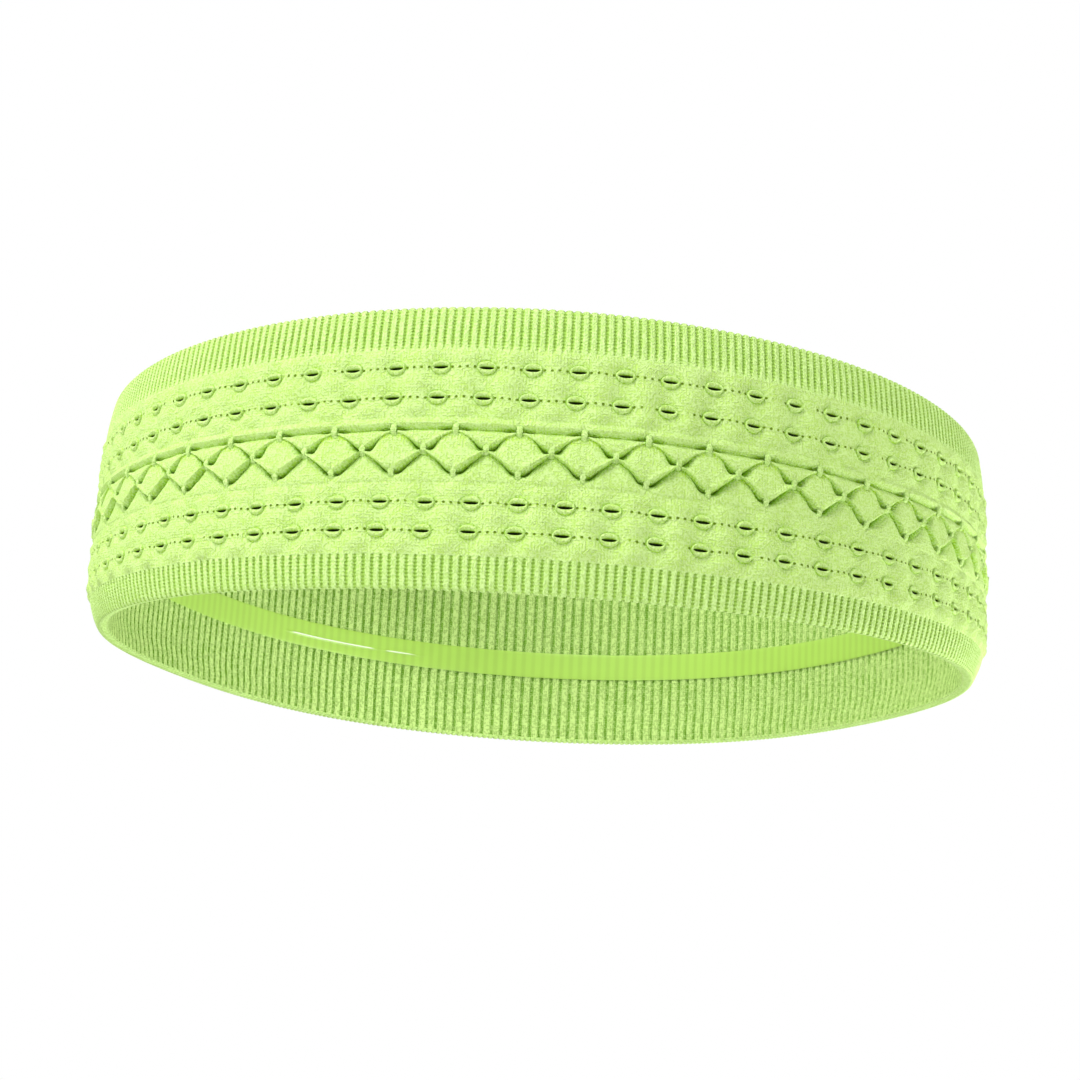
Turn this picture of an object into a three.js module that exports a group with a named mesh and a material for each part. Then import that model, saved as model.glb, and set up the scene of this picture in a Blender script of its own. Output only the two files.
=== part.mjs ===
// A knitted sports headband, shown stretched to the girth of a worn one. All sizes are in millimetres.
// Every piece is a ring round the head: a profile is turned on a lathe, then bent to the egg-shaped girth.
// +Z is up, -Y is the front, and the band rests on its bottom rim at z = 0, with the middle of its box
// over the origin.
import * as THREE from 'three';

// Overall size
const bandHeight = 42; // from rim to rim
const headRadius = 89; // mean radius of the outer face
const headLengthening = 6.5; // front and back lie this far out, and the temples this far in
const frontFlattening = 3.3; // the front lies this far in, and the back this far out

// The rims of an elastic band draw in towards the head
const bottomDrawIn = 1.3;
const bottomDrawInHeight = 8;
const topDrawIn = 0.9;
const topDrawInHeight = 10;

// Heights of the knitted zones. The two eyelet panels fill what the others leave.
const topHemHeight = 6.9;
const bottomHemHeight = 5;
const honeycombHeight = 9.6;

// Layers through the wall, from the outer face inwards
const shellThickness = 0.9;
const yarnThickness = 0.4;
const liningThickness = 0.8;
const gripThickness = 0.5;
const clearance = 0.3; // between neighbouring layers and zones

// Details
const foldThickness = 0.9; // of the rim, where a hem turns under the wall
const gripHeight = 6.2;
const gripDrop = 1.3; // below the honeycomb's middle
const hemElasticHeight = 2.6;
const tackRowPitch = 3.1; // between the three rows of tacks that gather the honeycomb
const pleatDepth = 0.35; // how far a row of tacks pulls the honeycomb in
const roundSteps = 72; // facets round the head
const tallestStep = 3; // a wall is split at least this often, to follow the draw-in

// Depths of the layers behind the outer face
const shellBack = shellThickness;
const yarnFront = shellBack + pleatDepth + clearance;
const yarnBack = yarnFront + yarnThickness;
const liningFront = yarnBack + clearance;
const liningBack = liningFront + liningThickness;
const gripFront = liningBack + clearance;
const gripBack = gripFront + gripThickness;

// Levels of the zones above the bottom rim
const topHemLevel = bandHeight - topHemHeight;
const honeycombMiddle = (bottomHemHeight + topHemLevel) / 2;
const honeycombBottom = honeycombMiddle - honeycombHeight / 2;
const honeycombTop = honeycombMiddle + honeycombHeight / 2;
const gripMiddle = honeycombMiddle - gripDrop;

const materials = {
  ribKnit: knit('#b4ee5e', 0.85),
  eyeletKnit: knit('#bdf263', 0.8),
  honeycombKnit: knit('#aeea55', 0.8),
  liningKnit: knit('#a8d95c', 0.9),
  yarn: knit('#d2f78e', 0.75),
  elastic: knit('#c9e79a', 0.7),
  silicone: knit('#9bdc4a', 0.3),
};

function knit(color, roughness) {
  return new THREE.MeshStandardMaterial({ color, roughness, metalness: 0 });
}

// Radius of the outer face at an angle round the head, before the rims draw in
function girth(angle) {
  return headRadius - headLengthening * Math.cos(2 * angle) - frontFlattening * Math.sin(3 * angle);
}

// How far the wall lies in at a level
function drawIn(level) {
  const nearBottom = Math.max(0, 1 - level / bottomDrawInHeight);
  const nearTop = Math.max(0, 1 - (bandHeight - level) / topDrawInHeight);
  return bottomDrawIn * nearBottom ** 2 + topDrawIn * nearTop ** 2;
}

// Splits the tall sides of a profile of [depth, level] corners, so that they can follow the draw-in
function split(profile) {
  return profile.flatMap(([depth, level], i) => {
    const [nextDepth, nextLevel] = profile[(i + 1) % profile.length];
    const steps = Math.max(1, Math.ceil(Math.abs(nextLevel - level) / tallestStep));
    return Array.from({ length: steps }, (_, k) => [
      depth + ((nextDepth - depth) * k) / steps,
      level + ((nextLevel - level) * k) / steps,
    ]);
  });
}

// A ring whose section is the profile: [depth behind the outer face, level], anticlockwise
// when depth runs to the left
function ring(name, material, profile) {
  const corners = split(profile);
  corners.push(corners[0]);
  const outline = corners.map(([depth, level]) => new THREE.Vector2(headRadius - depth, level));
  const geometry = new THREE.LatheGeometry(outline, roundSteps);
  geometry.rotateX(Math.PI / 2);
  const place = geometry.attributes.position;
  for (let i = 0; i < place.count; i += 1) {
    const angle = Math.atan2(place.getY(i), place.getX(i));
    const depth = headRadius - Math.hypot(place.getX(i), place.getY(i));
    const radius = girth(angle) - drawIn(place.getZ(i)) - depth;
    place.setXY(i, radius * Math.cos(angle), radius * Math.sin(angle));
  }
  geometry.computeVertexNormals();
  const mesh = new THREE.Mesh(geometry, material);
  mesh.name = name;
  return mesh;
}

// A plain wall between two depths and two levels
function wall(front, back, low, high) {
  return [[front, low], [front, high], [back, high], [back, low]];
}

// A hem: the outer leaf of the wall, and the rim that turns under the lining
function bottomHem() {
  const top = bottomHemHeight - clearance / 2;
  return [[0, 0], [0, top], [shellBack, top], [shellBack, foldThickness], [liningBack, foldThickness],
    [liningBack, 0]];
}

function topHem() {
  const bottom = topHemLevel + clearance / 2;
  const fold = bandHeight - foldThickness;
  return [[0, bottom], [0, bandHeight], [liningBack, bandHeight], [liningBack, fold], [shellBack, fold],
    [shellBack, bottom]];
}

// The gathered zone: level at its edges, and pulled in along each row of tacks
function honeycomb() {
  const low = honeycombBottom + clearance / 2;
  const high = honeycombTop - clearance / 2;
  const front = [[0, low]];
  for (const row of [-1, 0, 1]) {
    const level = honeycombMiddle + row * tackRowPitch;
    front.push([pleatDepth, level]);
    if (row < 1) front.push([0, level + tackRowPitch / 2]);
  }
  front.push([0, high]);
  const back = front.map(([depth, level]) => [depth + shellThickness, level]).reverse();
  return [...front, ...back];
}

// A hexagonal strand that runs round inside the wall at a level
function strand(level) {
  const middle = (yarnFront + yarnBack) / 2;
  return Array.from({ length: 6 }, (_, k) => {
    const turn = (-k * Math.PI) / 3;
    return [middle - (yarnThickness / 2) * Math.cos(turn), level - (yarnThickness / 2) * Math.sin(turn)];
  });
}

const liningBottom = foldThickness + clearance;
const liningTop = bandHeight - foldThickness - clearance;
const linkLevel = liningTop - yarnThickness;
const topElasticTop = linkLevel - yarnThickness / 2 - clearance;

const band = new THREE.Group();
band.position.y = -frontFlattening;
band.add(
  ring('top_rib_hem', materials.ribKnit, topHem()),
  ring('upper_eyelet_panel', materials.eyeletKnit,
    wall(0, shellBack, honeycombTop + clearance / 2, topHemLevel - clearance / 2)),
  ring('honeycomb_panel', materials.honeycombKnit, honeycomb()),
  ring('lower_eyelet_panel', materials.eyeletKnit,
    wall(0, shellBack, bottomHemHeight + clearance / 2, honeycombBottom - clearance / 2)),
  ring('bottom_rib_hem', materials.ribKnit, bottomHem()),
  ring('inner_rib_lining', materials.liningKnit, wall(liningFront, liningBack, liningBottom, liningTop)),
  ring('silicone_grip_strip', materials.silicone,
    wall(gripFront, gripBack, gripMiddle - gripHeight / 2, gripMiddle + gripHeight / 2)),
  ring('smocking_thread_upper', materials.yarn, strand(honeycombMiddle + tackRowPitch)),
  ring('smocking_thread_middle', materials.yarn, strand(honeycombMiddle)),
  ring('smocking_thread_lower', materials.yarn, strand(honeycombMiddle - tackRowPitch)),
  ring('top_hem_elastic', materials.elastic,
    wall(yarnFront, yarnBack, topElasticTop - hemElasticHeight, topElasticTop)),
  ring('bottom_hem_elastic', materials.elastic,
    wall(yarnFront, yarnBack, liningBottom, liningBottom + hemElasticHeight)),
  ring('lining_link_stitch', materials.yarn, strand(linkLevel)),
);

export default band;
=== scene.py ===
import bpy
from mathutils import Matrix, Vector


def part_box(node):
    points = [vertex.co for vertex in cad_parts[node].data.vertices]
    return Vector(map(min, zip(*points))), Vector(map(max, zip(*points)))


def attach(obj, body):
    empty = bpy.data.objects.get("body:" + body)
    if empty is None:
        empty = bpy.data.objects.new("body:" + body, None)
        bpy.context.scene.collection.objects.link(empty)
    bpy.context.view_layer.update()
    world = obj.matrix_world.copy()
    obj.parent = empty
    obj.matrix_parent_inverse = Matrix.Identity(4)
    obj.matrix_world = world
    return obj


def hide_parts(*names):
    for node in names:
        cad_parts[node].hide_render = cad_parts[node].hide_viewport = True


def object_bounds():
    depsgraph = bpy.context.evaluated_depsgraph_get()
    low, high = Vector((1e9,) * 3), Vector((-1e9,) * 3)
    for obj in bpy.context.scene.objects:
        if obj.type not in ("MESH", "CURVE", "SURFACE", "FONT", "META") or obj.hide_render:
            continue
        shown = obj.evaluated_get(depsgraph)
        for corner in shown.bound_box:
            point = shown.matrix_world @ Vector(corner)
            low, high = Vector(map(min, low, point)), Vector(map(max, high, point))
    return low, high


bl_info = {
    "name": "Knitted Sports Headband",
    "version": (1, 0, 0),
    "blender": (4, 5, 0),
    "location": "3D View > Sidebar > Headband",
    "description": "Knits a seamless elastic headband round its CAD frame, and sets up a studio for it",
    "category": "Add Mesh",
}

import math

import bmesh
import bpy
from bpy.props import FloatProperty, FloatVectorProperty, IntProperty, PointerProperty
from mathutils import Matrix, Vector

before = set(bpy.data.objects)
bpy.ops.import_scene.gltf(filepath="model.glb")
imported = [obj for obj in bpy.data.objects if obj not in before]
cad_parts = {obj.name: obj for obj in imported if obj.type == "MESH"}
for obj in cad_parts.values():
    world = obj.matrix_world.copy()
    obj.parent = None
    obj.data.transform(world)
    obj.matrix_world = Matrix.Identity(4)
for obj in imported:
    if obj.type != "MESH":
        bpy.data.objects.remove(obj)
CAD_BOX = [list(corner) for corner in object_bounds()]

MM = 0.001
HEIGHT = CAD_BOX[1][2]


# ---------------------------------------------------------------- places from the frame


def seam_level(below, above):
    """The level where two neighbouring zones of the wall meet."""
    return (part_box(below)[1].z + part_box(above)[0].z) / 2


def middle_level(node):
    low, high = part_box(node)
    return (low.z + high.z) / 2


def layer_depth(node):
    """How far a layer's front lies behind the outer face of the band."""
    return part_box(node)[0].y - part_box("honeycomb_panel")[0].y


TOP_SEAM = seam_level("upper_eyelet_panel", "top_rib_hem")
UPPER_SEAM = seam_level("honeycomb_panel", "upper_eyelet_panel")
LOWER_SEAM = seam_level("lower_eyelet_panel", "honeycomb_panel")
BOTTOM_SEAM = seam_level("bottom_rib_hem", "lower_eyelet_panel")
UPPER_TACKS = middle_level("smocking_thread_upper")
MIDDLE_TACKS = middle_level("smocking_thread_middle") + 0.3 * MM
LOWER_TACKS = middle_level("smocking_thread_lower")
LINING_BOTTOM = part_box("inner_rib_lining")[0].z
LINING_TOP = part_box("inner_rib_lining")[1].z
STRAND_RADIUS = 0.2 * MM
CORD_DEPTH = layer_depth("smocking_thread_middle") + STRAND_RADIUS
LINING_DEPTH = layer_depth("inner_rib_lining")
GRIP_DEPTH = layer_depth("silicone_grip_strip")


# ---------------------------------------------------------------- what a user can change


def length(name, description, default):
    return FloatProperty(name=name, description=description, default=default, unit="LENGTH", precision=5)


def whole(name, description, default):
    return IntProperty(name=name, description=description, default=default, min=4)


def strength(name, description, default):
    return FloatProperty(name=name, description=description, default=default, min=0)


def rotation(name, description, degrees):
    return FloatProperty(name=name, description=description, default=math.radians(degrees), subtype="ANGLE")


def colour(name, description, default):
    return FloatVectorProperty(
        name=name, description=description, default=default, subtype="COLOR", size=3, min=0, max=1)


class HeadbandKnit(bpy.types.PropertyGroup):
    """Sizes of the knit."""

    top_ribs: whole("Top hem ribs", "Ribs round the top hem", 432)
    bottom_ribs: whole("Bottom hem ribs", "Ribs round the bottom hem", 412)
    lining_ribs: whole("Lining ribs", "Ribs round the lining", 224)
    eyelets: whole("Eyelets", "Eyelets in one row", 80)
    tacks: whole("Tacks", "Tacks in one row of the honeycomb", 58)
    shell: length("Shell thickness", "Thickness of the outer knit", 0.7 * MM)
    lining: length("Lining thickness", "Thickness of the ribbed lining", 0.8 * MM)
    hem_groove: length("Hem groove", "Depth between two ribs of a hem", 0.24 * MM)
    lining_groove: length("Lining groove", "Depth between two ribs of the lining", 0.45 * MM)
    slit_length: length("Slit length", "Length of an eyelet's slit", 2.3 * MM)
    slit_width: length("Slit width", "Width of an eyelet's slit", 0.4 * MM)
    lip_height: length("Lip height", "How far an eyelet's lip stands proud", 0.38 * MM)
    puff: length("Puff", "How far the knit swells between eyelets", 0.8 * MM)
    ridge: length("Ridge", "How far the honeycomb's folds stand proud", 0.55 * MM)
    piping: length("Piping", "How far the crest of a fold swells", 0.08 * MM)
    pleat: length("Pleat", "How deep the honeycomb's folds reach", 1.5 * MM)
    tack_height: length("Tack height", "Height of a tack stitch", 1.5 * MM)
    tack_yarn: length("Tack yarn", "Thickness of the tack yarn", 0.78 * MM)
    pucker: length("Pucker", "Unevenness of the stretched knit", 0.38 * MM)
    sway: length("Sway", "How far rows of stitches wander", 0.22 * MM)


class HeadbandDrape(bpy.types.PropertyGroup):
    """How the elastic wall settles on a head."""

    bottom_draw_in: length("Bottom draw-in", "How far the bottom rim draws in", 1.3 * MM)
    bottom_reach: length("Bottom reach", "Height over which the bottom draws in", 8 * MM)
    side_draw_in: strength("Side draw-in", "How much more the bottom draws in at the sides", 1.0)
    top_draw_in: length("Top draw-in", "How far the top rim draws in", 0.9 * MM)
    top_reach: length("Top reach", "Height over which the top draws in", 10 * MM)
    top_bow: length("Top bow", "How far the top rim rises at front and back", 1.8 * MM)
    top_lift: length("Top lift", "How far the top rim rises at the front", 0.95 * MM)
    top_tilt: length("Top tilt", "How far the top rim drops at its right", 0.5 * MM)
    bottom_bow: length("Bottom bow", "How far the bottom rim rises at the sides", 0.8 * MM)
    bottom_tilt: length("Bottom tilt", "How far the bottom rim drops at its right", 0.7 * MM)


class HeadbandColours(bpy.types.PropertyGroup):
    """Colours of the yarns and the silicone."""

    # Each deep colour is mixed in by painted shade in grooves, folds and hollows, and by the darker parts of
    # the knit's own mottling and stitches
    knit_pale: colour("Knit", "Face of the lime knit", (0.58, 0.80, 0.28))
    knit_deep: colour("Knit, deep", "Lime knit between the stitches", (0.37, 0.64, 0.02))
    rib_pale: colour("Rib", "Crown of a hem rib", (0.61, 0.85, 0.30))
    rib_deep: colour("Rib, deep", "Groove of a hem rib", (0.41, 0.67, 0.11))
    lining_pale: colour("Lining", "Crown of a lining rib", (0.55, 0.75, 0.24))
    lining_deep: colour("Lining, deep", "Groove of the lining", (0.13, 0.31, 0.01))
    yarn: colour("Yarn", "Tack yarn and link stitch", (0.62, 0.86, 0.3))
    elastic: colour("Elastic", "Elastic tape in the hems", (0.72, 0.88, 0.45))
    silicone: colour("Silicone", "Grip strip", (0.38, 0.62, 0.09))


class HeadbandStudio(bpy.types.PropertyGroup):
    """Camera and light."""

    distance: length("Camera distance", "From the camera to the band's middle", 360.2 * MM)
    rise: rotation("Camera rise", "How steeply the camera looks up", 13.01)
    turn: rotation("Camera turn", "How far the camera stands to the left", 1.335)
    roll: rotation("Camera roll", "How far the camera leans", -3.163)
    aside: length("Aim aside", "How far right of the band's middle the camera aims", 0.74 * MM)
    above: length("Aim above", "How far above the band's middle the camera aims", 8.91 * MM)
    lens: FloatProperty(name="Lens", description="Focal length in millimetres", default=59.47, min=10)
    key: strength("Key light", "Power of the key light in watts", 9.8)
    side: strength("Side light", "Power of the side light in watts", 3.5)
    fill: strength("Fill light", "Power of the fill light in watts", 2.3)
    inner: strength("Inner light", "Power of the light into the opening, in watts", 2.4)
    sky: strength("Sky", "Brightness of the surroundings", 0.4)
    sky_lean: strength("Sky lean", "How much brighter the surroundings are at the left", 0.5)


# ---------------------------------------------------------------- node trees


class Wire:
    """One socket of a node tree. Arithmetic on it adds Math nodes."""

    def __init__(self, graph, socket):
        self.graph = graph
        self.socket = socket

    def out(self, index):
        """Another output of the same node."""
        return Wire(self.graph, self.socket.node.outputs[index])

    def __add__(self, other):
        return self.graph.math("ADD", self, other)

    def __radd__(self, other):
        return self.graph.math("ADD", other, self)

    def __sub__(self, other):
        return self.graph.math("SUBTRACT", self, other)

    def __rsub__(self, other):
        return self.graph.math("SUBTRACT", other, self)

    def __mul__(self, other):
        return self.graph.math("MULTIPLY", self, other)

    def __rmul__(self, other):
        return self.graph.math("MULTIPLY", other, self)

    def __truediv__(self, other):
        return self.graph.math("DIVIDE", self, other)

    def __pow__(self, other):
        return self.graph.math("POWER", self, other)


class Graph:
    """A node tree that is written as expressions."""

    def __init__(self, tree):
        self.tree = tree

    def node(self, kind, values=None, settings=None, out=0):
        """Adds a node, sets it up, fills or links its sockets, and gives one of its outputs."""
        made = self.tree.nodes.new(kind)
        for name, value in (settings or {}).items():
            setattr(made, name, value)
        for key, value in (values or {}).items():
            if isinstance(value, Wire):
                self.tree.links.new(value.socket, made.inputs[key])
            else:
                made.inputs[key].default_value = value
        return Wire(self, made.outputs[out]) if len(made.outputs) else made

    def math(self, operation, *terms):
        return self.node("ShaderNodeMath", dict(enumerate(terms)), {"operation": operation})

    def vector(self, operation, *terms):
        return self.node("ShaderNodeVectorMath", dict(enumerate(terms)), {"operation": operation})

    def scale(self, vector, factor):
        return self.node("ShaderNodeVectorMath", {0: vector, "Scale": factor}, {"operation": "SCALE"})

    def combine(self, x, y, z):
        return self.node("ShaderNodeCombineXYZ", {0: x, 1: y, 2: z})

    def separate(self, vector):
        x = self.node("ShaderNodeSeparateXYZ", {0: vector})
        return x, x.out(1), x.out(2)

    def clamp(self, value):
        return self.node("ShaderNodeClamp", {0: value})

    def smooth(self, value, low, high):
        """0 below low, 1 above high, and a smooth step between."""
        return self.node(
            "ShaderNodeMapRange", {0: value, 1: low, 2: high}, {"interpolation_type": "SMOOTHSTEP"})

    def mix(self, factor, a, b):
        """Mixes two colours."""
        return self.node("ShaderNodeMix", {0: factor, 6: a, 7: b}, {"data_type": "RGBA"}, out=2)

    def noise(self, place, scale, detail=2.0, out=0):
        """Noise at a place: its value, or its colour as the second output."""
        return self.node("ShaderNodeTexNoise", {"Vector": place, "Scale": scale, "Detail": detail}, out=out)

    def attribute(self, name):
        return self.node("ShaderNodeAttribute", settings={"attribute_name": name}, out=2)

    def unwrapped(self):
        """The flat place on a unit, in millimetres: along the girth, and up."""
        u, v, _ = self.separate(self.node("ShaderNodeUVMap", settings={"uv_map": "UVMap"}))
        return u, v

    def bump(self, height, strength, distance):
        return self.node("ShaderNodeBump", {"Strength": strength, "Distance": distance, "Height": height})


# ---------------------------------------------------------------- wrapping a flat piece round the head

# Inputs that a setting of the drape fills, which has the same name in lower case
DRAPE_INPUTS = (
    "Bottom Draw-In", "Bottom Reach", "Side Draw-In", "Top Draw-In", "Top Reach",
    "Top Bow", "Top Lift", "Top Tilt", "Bottom Bow", "Bottom Tilt",
)
WANDER_SCALE = 75.0
PUCKER_SCALE = 130.0
CALM_REACH = 9 * MM
PRESS_REACH = 4.5 * MM
PRESSED = 0.45
RING_INPUTS = {
    "Unit": "NodeSocketObject",
    "Girth": "NodeSocketObject",
    "Around": "NodeSocketFloat",
    "Units": "NodeSocketInt",
    "Start": "NodeSocketFloat",
    "Height": "NodeSocketFloat",
    **{name: "NodeSocketFloat" for name in DRAPE_INPUTS},
    "Pucker": "NodeSocketFloat",
    "Sway": "NodeSocketFloat",
    "Material": "NodeSocketMaterial",
}


def ring_tree():
    """The tree that repeats one flat unit round the girth and lets it settle on the head.

    A unit lies in its own x (along the girth), y (outwards) and z (level above the bottom rim)."""
    tree = bpy.data.node_groups.new("Knit round the girth", "GeometryNodeTree")
    tree.interface.new_socket("Geometry", in_out="INPUT", socket_type="NodeSocketGeometry")
    for name, kind in RING_INPUTS.items():
        tree.interface.new_socket(name, in_out="INPUT", socket_type=kind)
    tree.interface.new_socket("Geometry", in_out="OUTPUT", socket_type="NodeSocketGeometry")
    g = Graph(tree)
    entry = tree.nodes.new("NodeGroupInput")
    given = {name: Wire(g, entry.outputs[name]) for name in RING_INPUTS}

    # Repeat the unit along a straight line as long as the girth
    unit = g.node("GeometryNodeObjectInfo", {"Object": given["Unit"]}).out(4)
    line = g.node("GeometryNodeMeshLine", {
        "Count": given["Units"],
        "Start Location": g.combine(given["Start"], 0.0, 0.0),
        "Offset": g.combine(given["Around"] / given["Units"], 0.0, 0.0),
    })
    copies = g.node("GeometryNodeInstanceOnPoints", {"Points": line, "Instance": unit})
    flat = g.node("GeometryNodeRealizeInstances", {"Geometry": copies})

    # Let the rows wander, by a noise that closes on itself round the head
    along, outward, level = g.separate(g.node("GeometryNodeInputPosition"))
    turn = along / given["Around"] * math.tau
    radius = given["Around"] / math.tau
    around_x = g.math("COSINE", turn) * radius
    around_y = g.math("SINE", turn) * radius
    rim_calm = g.smooth(level, 0.0, CALM_REACH) * g.smooth(given["Height"] - level, 0.0, CALM_REACH)
    wander = g.noise(g.combine(around_x, around_y, level), WANDER_SCALE, 1.0, out=1)
    wander_along, wander_up, _ = g.separate(wander)
    along = along + (wander_along - 0.5) * given["Sway"] * 2.0
    level_now = level + (wander_up - 0.5) * given["Sway"] * rim_calm * 2.0
    swell = g.noise(g.combine(around_x, around_y, level * 0.45), PUCKER_SCALE)
    outward = outward + (swell - 0.5) * given["Pucker"] * (0.25 + 0.75 * rim_calm) * 2.0

    # Press the layers together near the rims, and draw the rims in
    near_bottom = g.math("MAXIMUM", 1.0 - level / PRESS_REACH, 0.0)
    near_top = g.math("MAXIMUM", 1.0 - (given["Height"] - level) / PRESS_REACH, 0.0)
    outward = outward * (1.0 - (near_bottom * near_bottom + near_top * near_top) * PRESSED)
    bottom = g.math("MAXIMUM", 1.0 - level / given["Bottom Reach"], 0.0)
    top = g.math("MAXIMUM", 1.0 - (given["Height"] - level) / given["Top Reach"], 0.0)
    # Wrap round the girth
    share = g.math("FRACT", along / given["Around"] + 0.5)
    girth = g.node("GeometryNodeObjectInfo", {"Object": given["Girth"]}).out(4)
    sample = g.node("GeometryNodeSampleCurve", {"Curves": girth, "Factor": share}, {"mode": "FACTOR"})
    point = sample.out(1)
    tangent = sample.out(2)
    out_way = g.vector("NORMALIZE", g.vector("CROSS_PRODUCT", tangent, (0.0, 0.0, 1.0)))
    across, fore, _ = g.separate(g.vector("NORMALIZE", point))
    side_more = 1.0 + across ** 4.0 * given["Side Draw-In"]
    drawn = given["Bottom Draw-In"] * bottom * bottom * side_more + given["Top Draw-In"] * top * top
    outward = outward - drawn
    height_share = level / given["Height"]
    bow = (across * across - fore * fore) * given["Top Bow"]
    top_rise = 0.0 - bow - fore * given["Top Lift"] - across * given["Top Tilt"]
    bottom_rise = across * across * given["Bottom Bow"] - across * given["Bottom Tilt"]
    rise = height_share * top_rise + (1.0 - height_share) * bottom_rise
    place = g.vector("ADD", point, g.scale(out_way, outward))
    place = g.vector("ADD", place, g.combine(0.0, 0.0, level_now + rise))
    wrapped = g.node("GeometryNodeSetPosition", {"Geometry": flat, "Position": place})

    joined = g.node("GeometryNodeMergeByDistance", {"Geometry": wrapped, "Distance": 1e-6})
    smooth = g.node("GeometryNodeSetShadeSmooth", {"Geometry": joined})
    done = g.node("GeometryNodeSetMaterial", {"Geometry": smooth, "Material": given["Material"]})
    g.node("NodeGroupOutput", {"Geometry": done})
    return tree


def girth_line():
    """The closed line of the outer face round the head, from the frame. Its seam is at the back."""
    name = "Girth"
    if name in bpy.data.objects:
        return bpy.data.objects[name]
    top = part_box("honeycomb_panel")[1].z
    rim = [v.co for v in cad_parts["honeycomb_panel"].data.vertices if top - v.co.z < 0.1 * MM]
    centre = sum(rim, Vector()) / len(rim)
    farthest = {}
    for point in rim:
        turn = round(math.degrees(math.atan2(point.y - centre.y, point.x - centre.x)) - 90) % 360
        if turn not in farthest or (point - centre).length > (farthest[turn] - centre).length:
            farthest[turn] = point
    curve = bpy.data.curves.new(name, "CURVE")
    curve.dimensions = "3D"
    curve.resolution_u = 16
    spline = curve.splines.new("BEZIER")
    spline.use_cyclic_u = True
    spline.bezier_points.add(len(farthest) - 1)
    for knot, turn in zip(spline.bezier_points, sorted(farthest)):
        knot.co = (farthest[turn].x, farthest[turn].y, 0)
        knot.handle_left_type = "AUTO"
        knot.handle_right_type = "AUTO"
    line = bpy.data.objects.new(name, curve)
    bpy.context.scene.collection.objects.link(line)
    bpy.context.view_layer.update()
    return line


def girth_length():
    return girth_line().data.splines[0].calc_length()


SHARP_ANGLE = math.radians(62)


def knit_round(name, unit, copies, material, start=0.0, pucker=0.0, sway=0.0):
    """Repeats a unit mesh round the girth, and gives the finished plain object."""
    scene = bpy.context.scene
    tree = bpy.data.node_groups.get("Knit round the girth") or ring_tree()
    pattern = bpy.data.objects.new(name + "_unit", unit)
    piece = bpy.data.objects.new(name, bpy.data.meshes.new(name))
    scene.collection.objects.link(pattern)
    scene.collection.objects.link(piece)
    knit = piece.modifiers.new("Knit", "NODES")
    knit.node_group = tree
    inputs = {
        "Unit": pattern,
        "Girth": girth_line(),
        "Around": girth_length(),
        "Units": copies,
        "Start": start,
        "Height": HEIGHT,
        "Pucker": pucker,
        "Sway": sway,
        "Material": material,
    }
    for key in DRAPE_INPUTS:
        inputs[key] = getattr(scene.headband_drape, key.lower().replace(" ", "_").replace("-", "_"))
    sockets = {s.name: s.identifier for s in tree.interface.items_tree if s.in_out == "INPUT"}
    for key, value in inputs.items():
        knit[sockets[key]] = value
    depsgraph = bpy.context.evaluated_depsgraph_get()
    mesh = bpy.data.meshes.new_from_object(
        piece.evaluated_get(depsgraph), preserve_all_data_layers=True, depsgraph=depsgraph)
    piece.modifiers.clear()
    piece.data = mesh
    mesh.name = name
    bpy.data.objects.remove(pattern)
    if not mesh.polygons:
        raise RuntimeError(f"{name} came out empty")
    shell = bmesh.new()
    shell.from_mesh(mesh)
    bmesh.ops.recalc_face_normals(shell, faces=shell.faces)
    for edge in shell.edges:
        edge.smooth = edge.calc_face_angle(0) < SHARP_ANGLE
    for face in shell.faces:
        face.material_index = 0
    shell.to_mesh(mesh)
    shell.free()
    mesh.materials.clear()
    mesh.materials.append(material)
    return piece


def place(piece, node, slot):
    """The finished piece rides on the frame and stands for its CAD node."""
    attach(piece, "root")
    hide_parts(node)
    return piece


# A row of eyelets: (share of the pitch where its eyelet stands, share of the band's height)
EYELET_ROWS = {
    "lower_eyelet_panel": {"shift": 0.195, "rows": ((0.485, 0.1985), (0.515, 0.2970))},
    "upper_eyelet_panel": {"shift": 0.35, "rows": ((0.48, 0.6635), (0.52, 0.7715))},
}


# ---------------------------------------------------------------- unit meshes


class Weave:
    """Collects the faces of one unit. A point is (along, outward, level, painted shade): how much shade is
    painted into the colour there, or on the silicone strip how much glint.
    """

    def __init__(self):
        self.mesh = bmesh.new()
        # Painted shade on the knit and yarn, and a painted glint on the silicone strip
        self.cavity = self.mesh.verts.layers.float.new("cavity")

    def vertex(self, point):
        made = self.mesh.verts.new(point[:3])
        made[self.cavity] = point[3]
        return made

    def grid(self, columns, closed=False):
        """Quads between neighbouring columns of points. A closed grid's columns are loops."""
        made = [[self.vertex(point) for point in column] for column in columns]
        for left, right in zip(made, made[1:]):
            rows = len(left) if closed else len(left) - 1
            for i in range(rows):
                j = (i + 1) % len(left)
                self.mesh.faces.new((left[i], right[i], right[j], left[j]))

    def finish(self, name):
        """The unit as a mesh, with its flat place in millimetres as its UV map."""
        bmesh.ops.remove_doubles(self.mesh, verts=self.mesh.verts, dist=1e-7)
        uv = self.mesh.loops.layers.uv.new("UVMap")
        for face in self.mesh.faces:
            for corner in face.loops:
                corner[uv].uv = (corner.vert.co.x / MM, corner.vert.co.z / MM)
        mesh = bpy.data.meshes.new(name)
        self.mesh.to_mesh(mesh)
        self.mesh.free()
        return mesh


def at(along, section):
    """A section's (outward, level, cavity) points as points of a unit at a place along the girth."""
    return [(along, *point) for point in section]


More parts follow.
